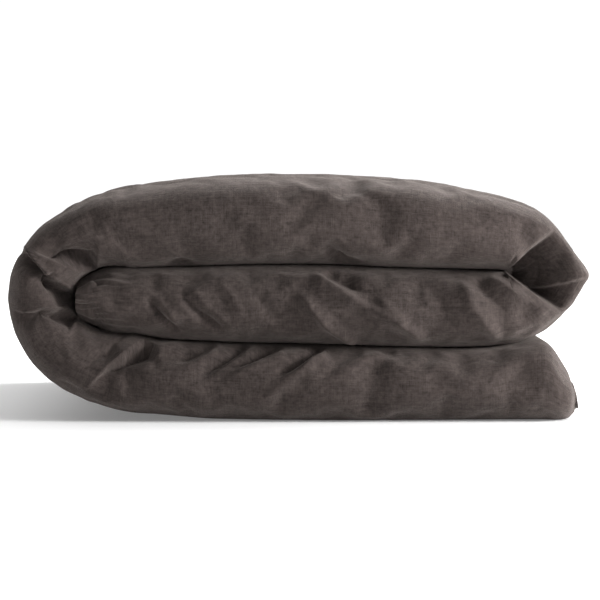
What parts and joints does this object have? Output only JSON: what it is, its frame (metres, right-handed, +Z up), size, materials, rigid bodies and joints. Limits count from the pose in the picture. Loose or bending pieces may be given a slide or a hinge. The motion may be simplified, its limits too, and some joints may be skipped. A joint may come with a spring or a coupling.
{
  "type": "folded duvet in a cover",
  "caption": "Single duvet in a dark linen cover, folded in half and rolled into three layers. The big fold hinges open.",
  "frame": {"origin": "middle of the bounding box's bottom face, on the surface the duvet lies on", "axes": "+X along the layers towards the end fold (right in the picture), +Y from the rounded front fold to the seamed edges (away from the camera), +Z up"},
  "size_m": [0.676, 0.7, 0.284],
  "materials": {
    "linen": "matte, slubby woven linen",
    "ticking": "matte, close woven cotton",
    "fill": "matte wadding",
    "button": "satin",
    "tape": "matte cotton tape"
  },
  "bodies": {
    "lower_layer": {"cover_back_fold_a": "linen", "cover_back_lower": "linen", "cover_end_seam": "linen", "cover_face_fold_a": "linen", "cover_face_lower": "linen", "cover_tie_closed_end_inner": "tape", "cover_tie_closed_end_outer": "tape", "fill_fold_a": "fill", "fill_lower_1": "fill", "fill_lower_2": "fill", "fill_lower_3": "fill", "insert_loop_closed_end_inner": "ticking", "insert_loop_closed_end_outer": "ticking", "ticking_fold_a": "ticking", "ticking_lower": "ticking"},
    "fold_link_1": {"cover_back_fold_b": "linen", "cover_face_fold_b": "linen", "fill_fold_b": "fill", "ticking_fold_b": "ticking"},
    "fold_link_2": {"cover_back_fold_c": "linen", "cover_face_fold_c": "linen", "fill_fold_c": "fill", "ticking_fold_c": "ticking"},
    "fold_link_3": {"cover_back_fold_d": "linen", "cover_face_fold_d": "linen", "fill_fold_d": "fill", "ticking_fold_d": "ticking"},
    "roll": {"button_inner_1": "button", "button_inner_2": "button", "button_inner_3": "button", "button_outer_1": "button", "button_outer_2": "button", "button_outer_3": "button", "cover_back_end_fold": "linen", "cover_back_fold_e": "linen", "cover_back_middle": "linen", "cover_back_upper": "linen", "cover_face_end_fold": "linen", "cover_face_fold_e": "linen", "cover_face_middle": "linen", "cover_face_upper": "linen", "cover_placket_over": "linen", "cover_placket_under": "linen", "cover_tie_buttoned_end_inner": "tape", "cover_tie_buttoned_end_outer": "tape", "fill_end_fold": "fill", "fill_fold_e": "fill", "fill_middle_1": "fill", "fill_middle_2": "fill", "fill_middle_3": "fill", "fill_upper_1": "fill", "fill_upper_2": "fill", "fill_upper_3": "fill", "insert_loop_buttoned_end_inner": "ticking", "insert_loop_buttoned_end_outer": "ticking", "ticking_end_fold": "ticking", "ticking_fold_e": "ticking", "ticking_middle": "ticking", "ticking_upper": "ticking"}
  },
  "joints": [
    {"name": "left_fold_1", "type": "hinge", "parent": "lower_layer", "child": "fold_link_1", "pos_m": [-0.25034, 0, 0.01081], "axis": [0, -1, 0], "range_deg": [0, 45]},
    {"name": "left_fold_2", "type": "hinge", "parent": "fold_link_1", "child": "fold_link_2", "pos_m": [-0.32719, 0, 0.08766], "axis": [0, -1, 0], "range_deg": [0, 45]},
    {"name": "left_fold_3", "type": "hinge", "parent": "fold_link_2", "child": "fold_link_3", "pos_m": [-0.32719, 0, 0.19634], "axis": [0, -1, 0], "range_deg": [0, 45]},
    {"name": "left_fold_4", "type": "hinge", "parent": "fold_link_3", "child": "roll", "pos_m": [-0.25034, 0, 0.27319], "axis": [0, -1, 0], "range_deg": [0, 45]}
  ],
  "couplings": [
    {"joint": "left_fold_2", "follows": "left_fold_1", "ratio": 1},
    {"joint": "left_fold_3", "follows": "left_fold_1", "ratio": 1},
    {"joint": "left_fold_4", "follows": "left_fold_1", "ratio": 1}
  ]
}
